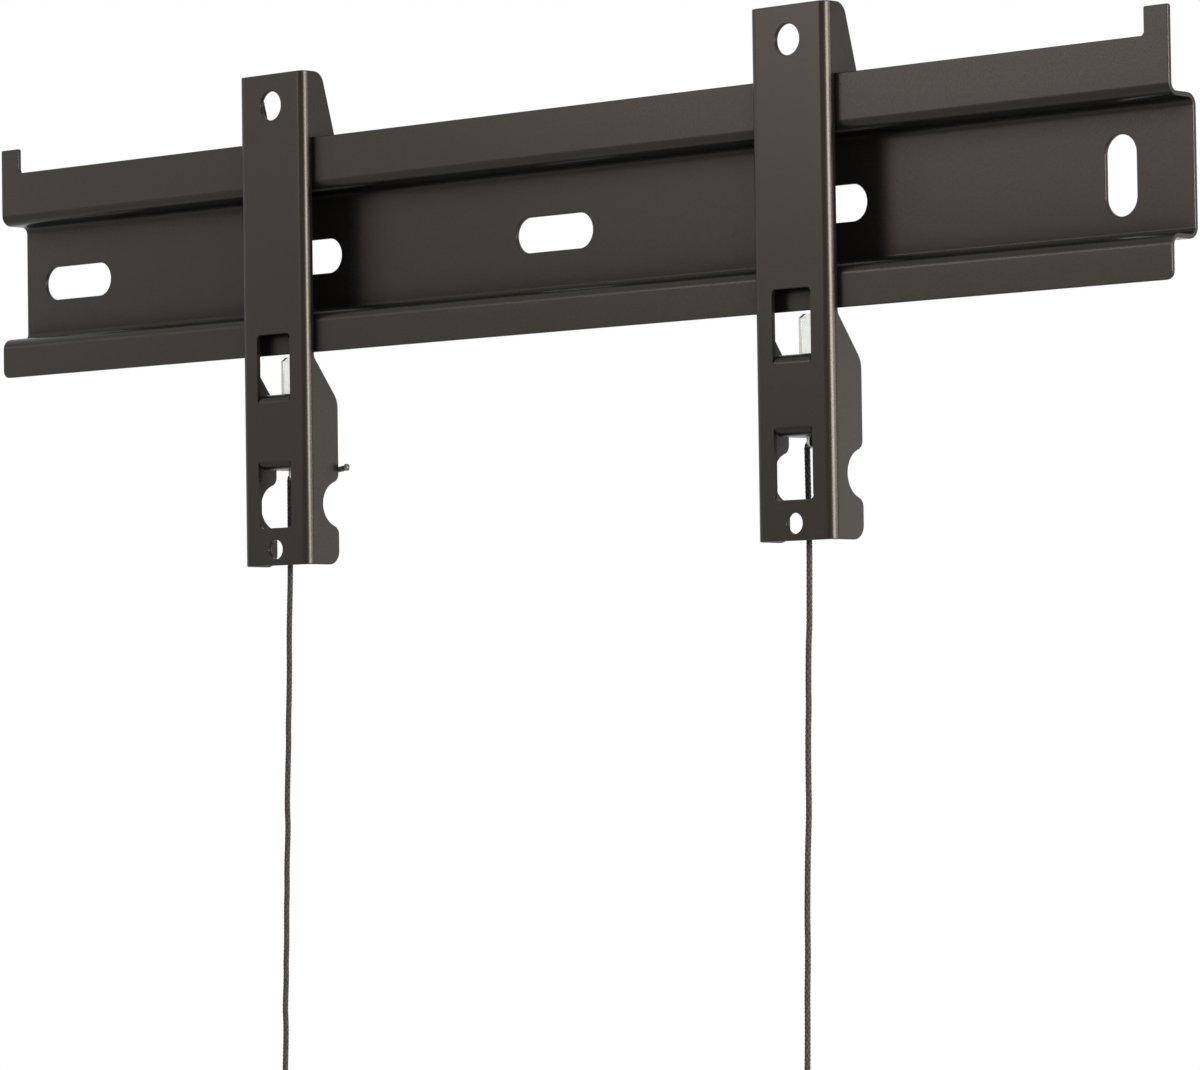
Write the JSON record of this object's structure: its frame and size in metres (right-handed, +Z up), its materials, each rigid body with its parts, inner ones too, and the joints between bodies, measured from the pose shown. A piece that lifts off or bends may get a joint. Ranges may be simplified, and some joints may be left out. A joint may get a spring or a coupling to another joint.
{
  "type": "fixed tv wall bracket",
  "caption": "Flat hat-section steel wall rail with hook-on channel arms that slide along it, each locked on by a spring bolt with a hanging pull cord.",
  "frame": {"origin": "middle of the rail's back face, on the wall, at the centre of the middle screw slot and of the inner slot pair", "axes": "+X along the rail to the right as seen from the room, +Y into the wall, +Z up"},
  "size_m": [0.689, 0.0231, 0.47],
  "materials": {
    "powder_coat": "satin dark brown-black powder coat",
    "zinc_plate": "bright zinc plate",
    "spring_steel": "drawn spring wire",
    "braided_cord": "braided black polyester"
  },
  "bodies": {
    "rail": {"wall_rail": "powder_coat"},
    "left_arm_body": {"left_arm": "powder_coat", "left_latch_spring": "spring_steel"},
    "left_latch_body": {"left_latch_bolt": "zinc_plate", "left_spring_pin": "zinc_plate", "left_cord_knot": "braided_cord", "left_pull_cord": "braided_cord", "left_end_knot": "braided_cord", "left_cord_tail": "braided_cord"},
    "right_arm_body": {"right_arm": "powder_coat", "right_latch_spring": "spring_steel"},
    "right_latch_body": {"right_latch_bolt": "zinc_plate", "right_spring_pin": "zinc_plate", "right_cord_knot": "braided_cord", "right_pull_cord": "braided_cord", "right_end_knot": "braided_cord"}
  },
  "joints": [
    {"name": "left_arm_slide", "type": "slide", "parent": "rail", "child": "left_arm_body", "axis": [1, 0, 0], "range_m": [-0.1545, 0.133]},
    {"name": "left_latch_pull", "type": "slide", "parent": "left_arm_body", "child": "left_latch_body", "axis": [0, 0, -1], "range_m": [0, 0.014], "stiffness_N_per_m": 400, "springref_m": -0.012, "deforming": ["left_latch_spring"]},
    {"name": "right_arm_slide", "type": "slide", "parent": "rail", "child": "right_arm_body", "axis": [1, 0, 0], "range_m": [-0.131, 0.156]},
    {"name": "right_latch_pull", "type": "slide", "parent": "right_arm_body", "child": "right_latch_body", "axis": [0, 0, -1], "range_m": [0, 0.014], "stiffness_N_per_m": 400, "springref_m": -0.012, "deforming": ["right_latch_spring"]}
  ]
}
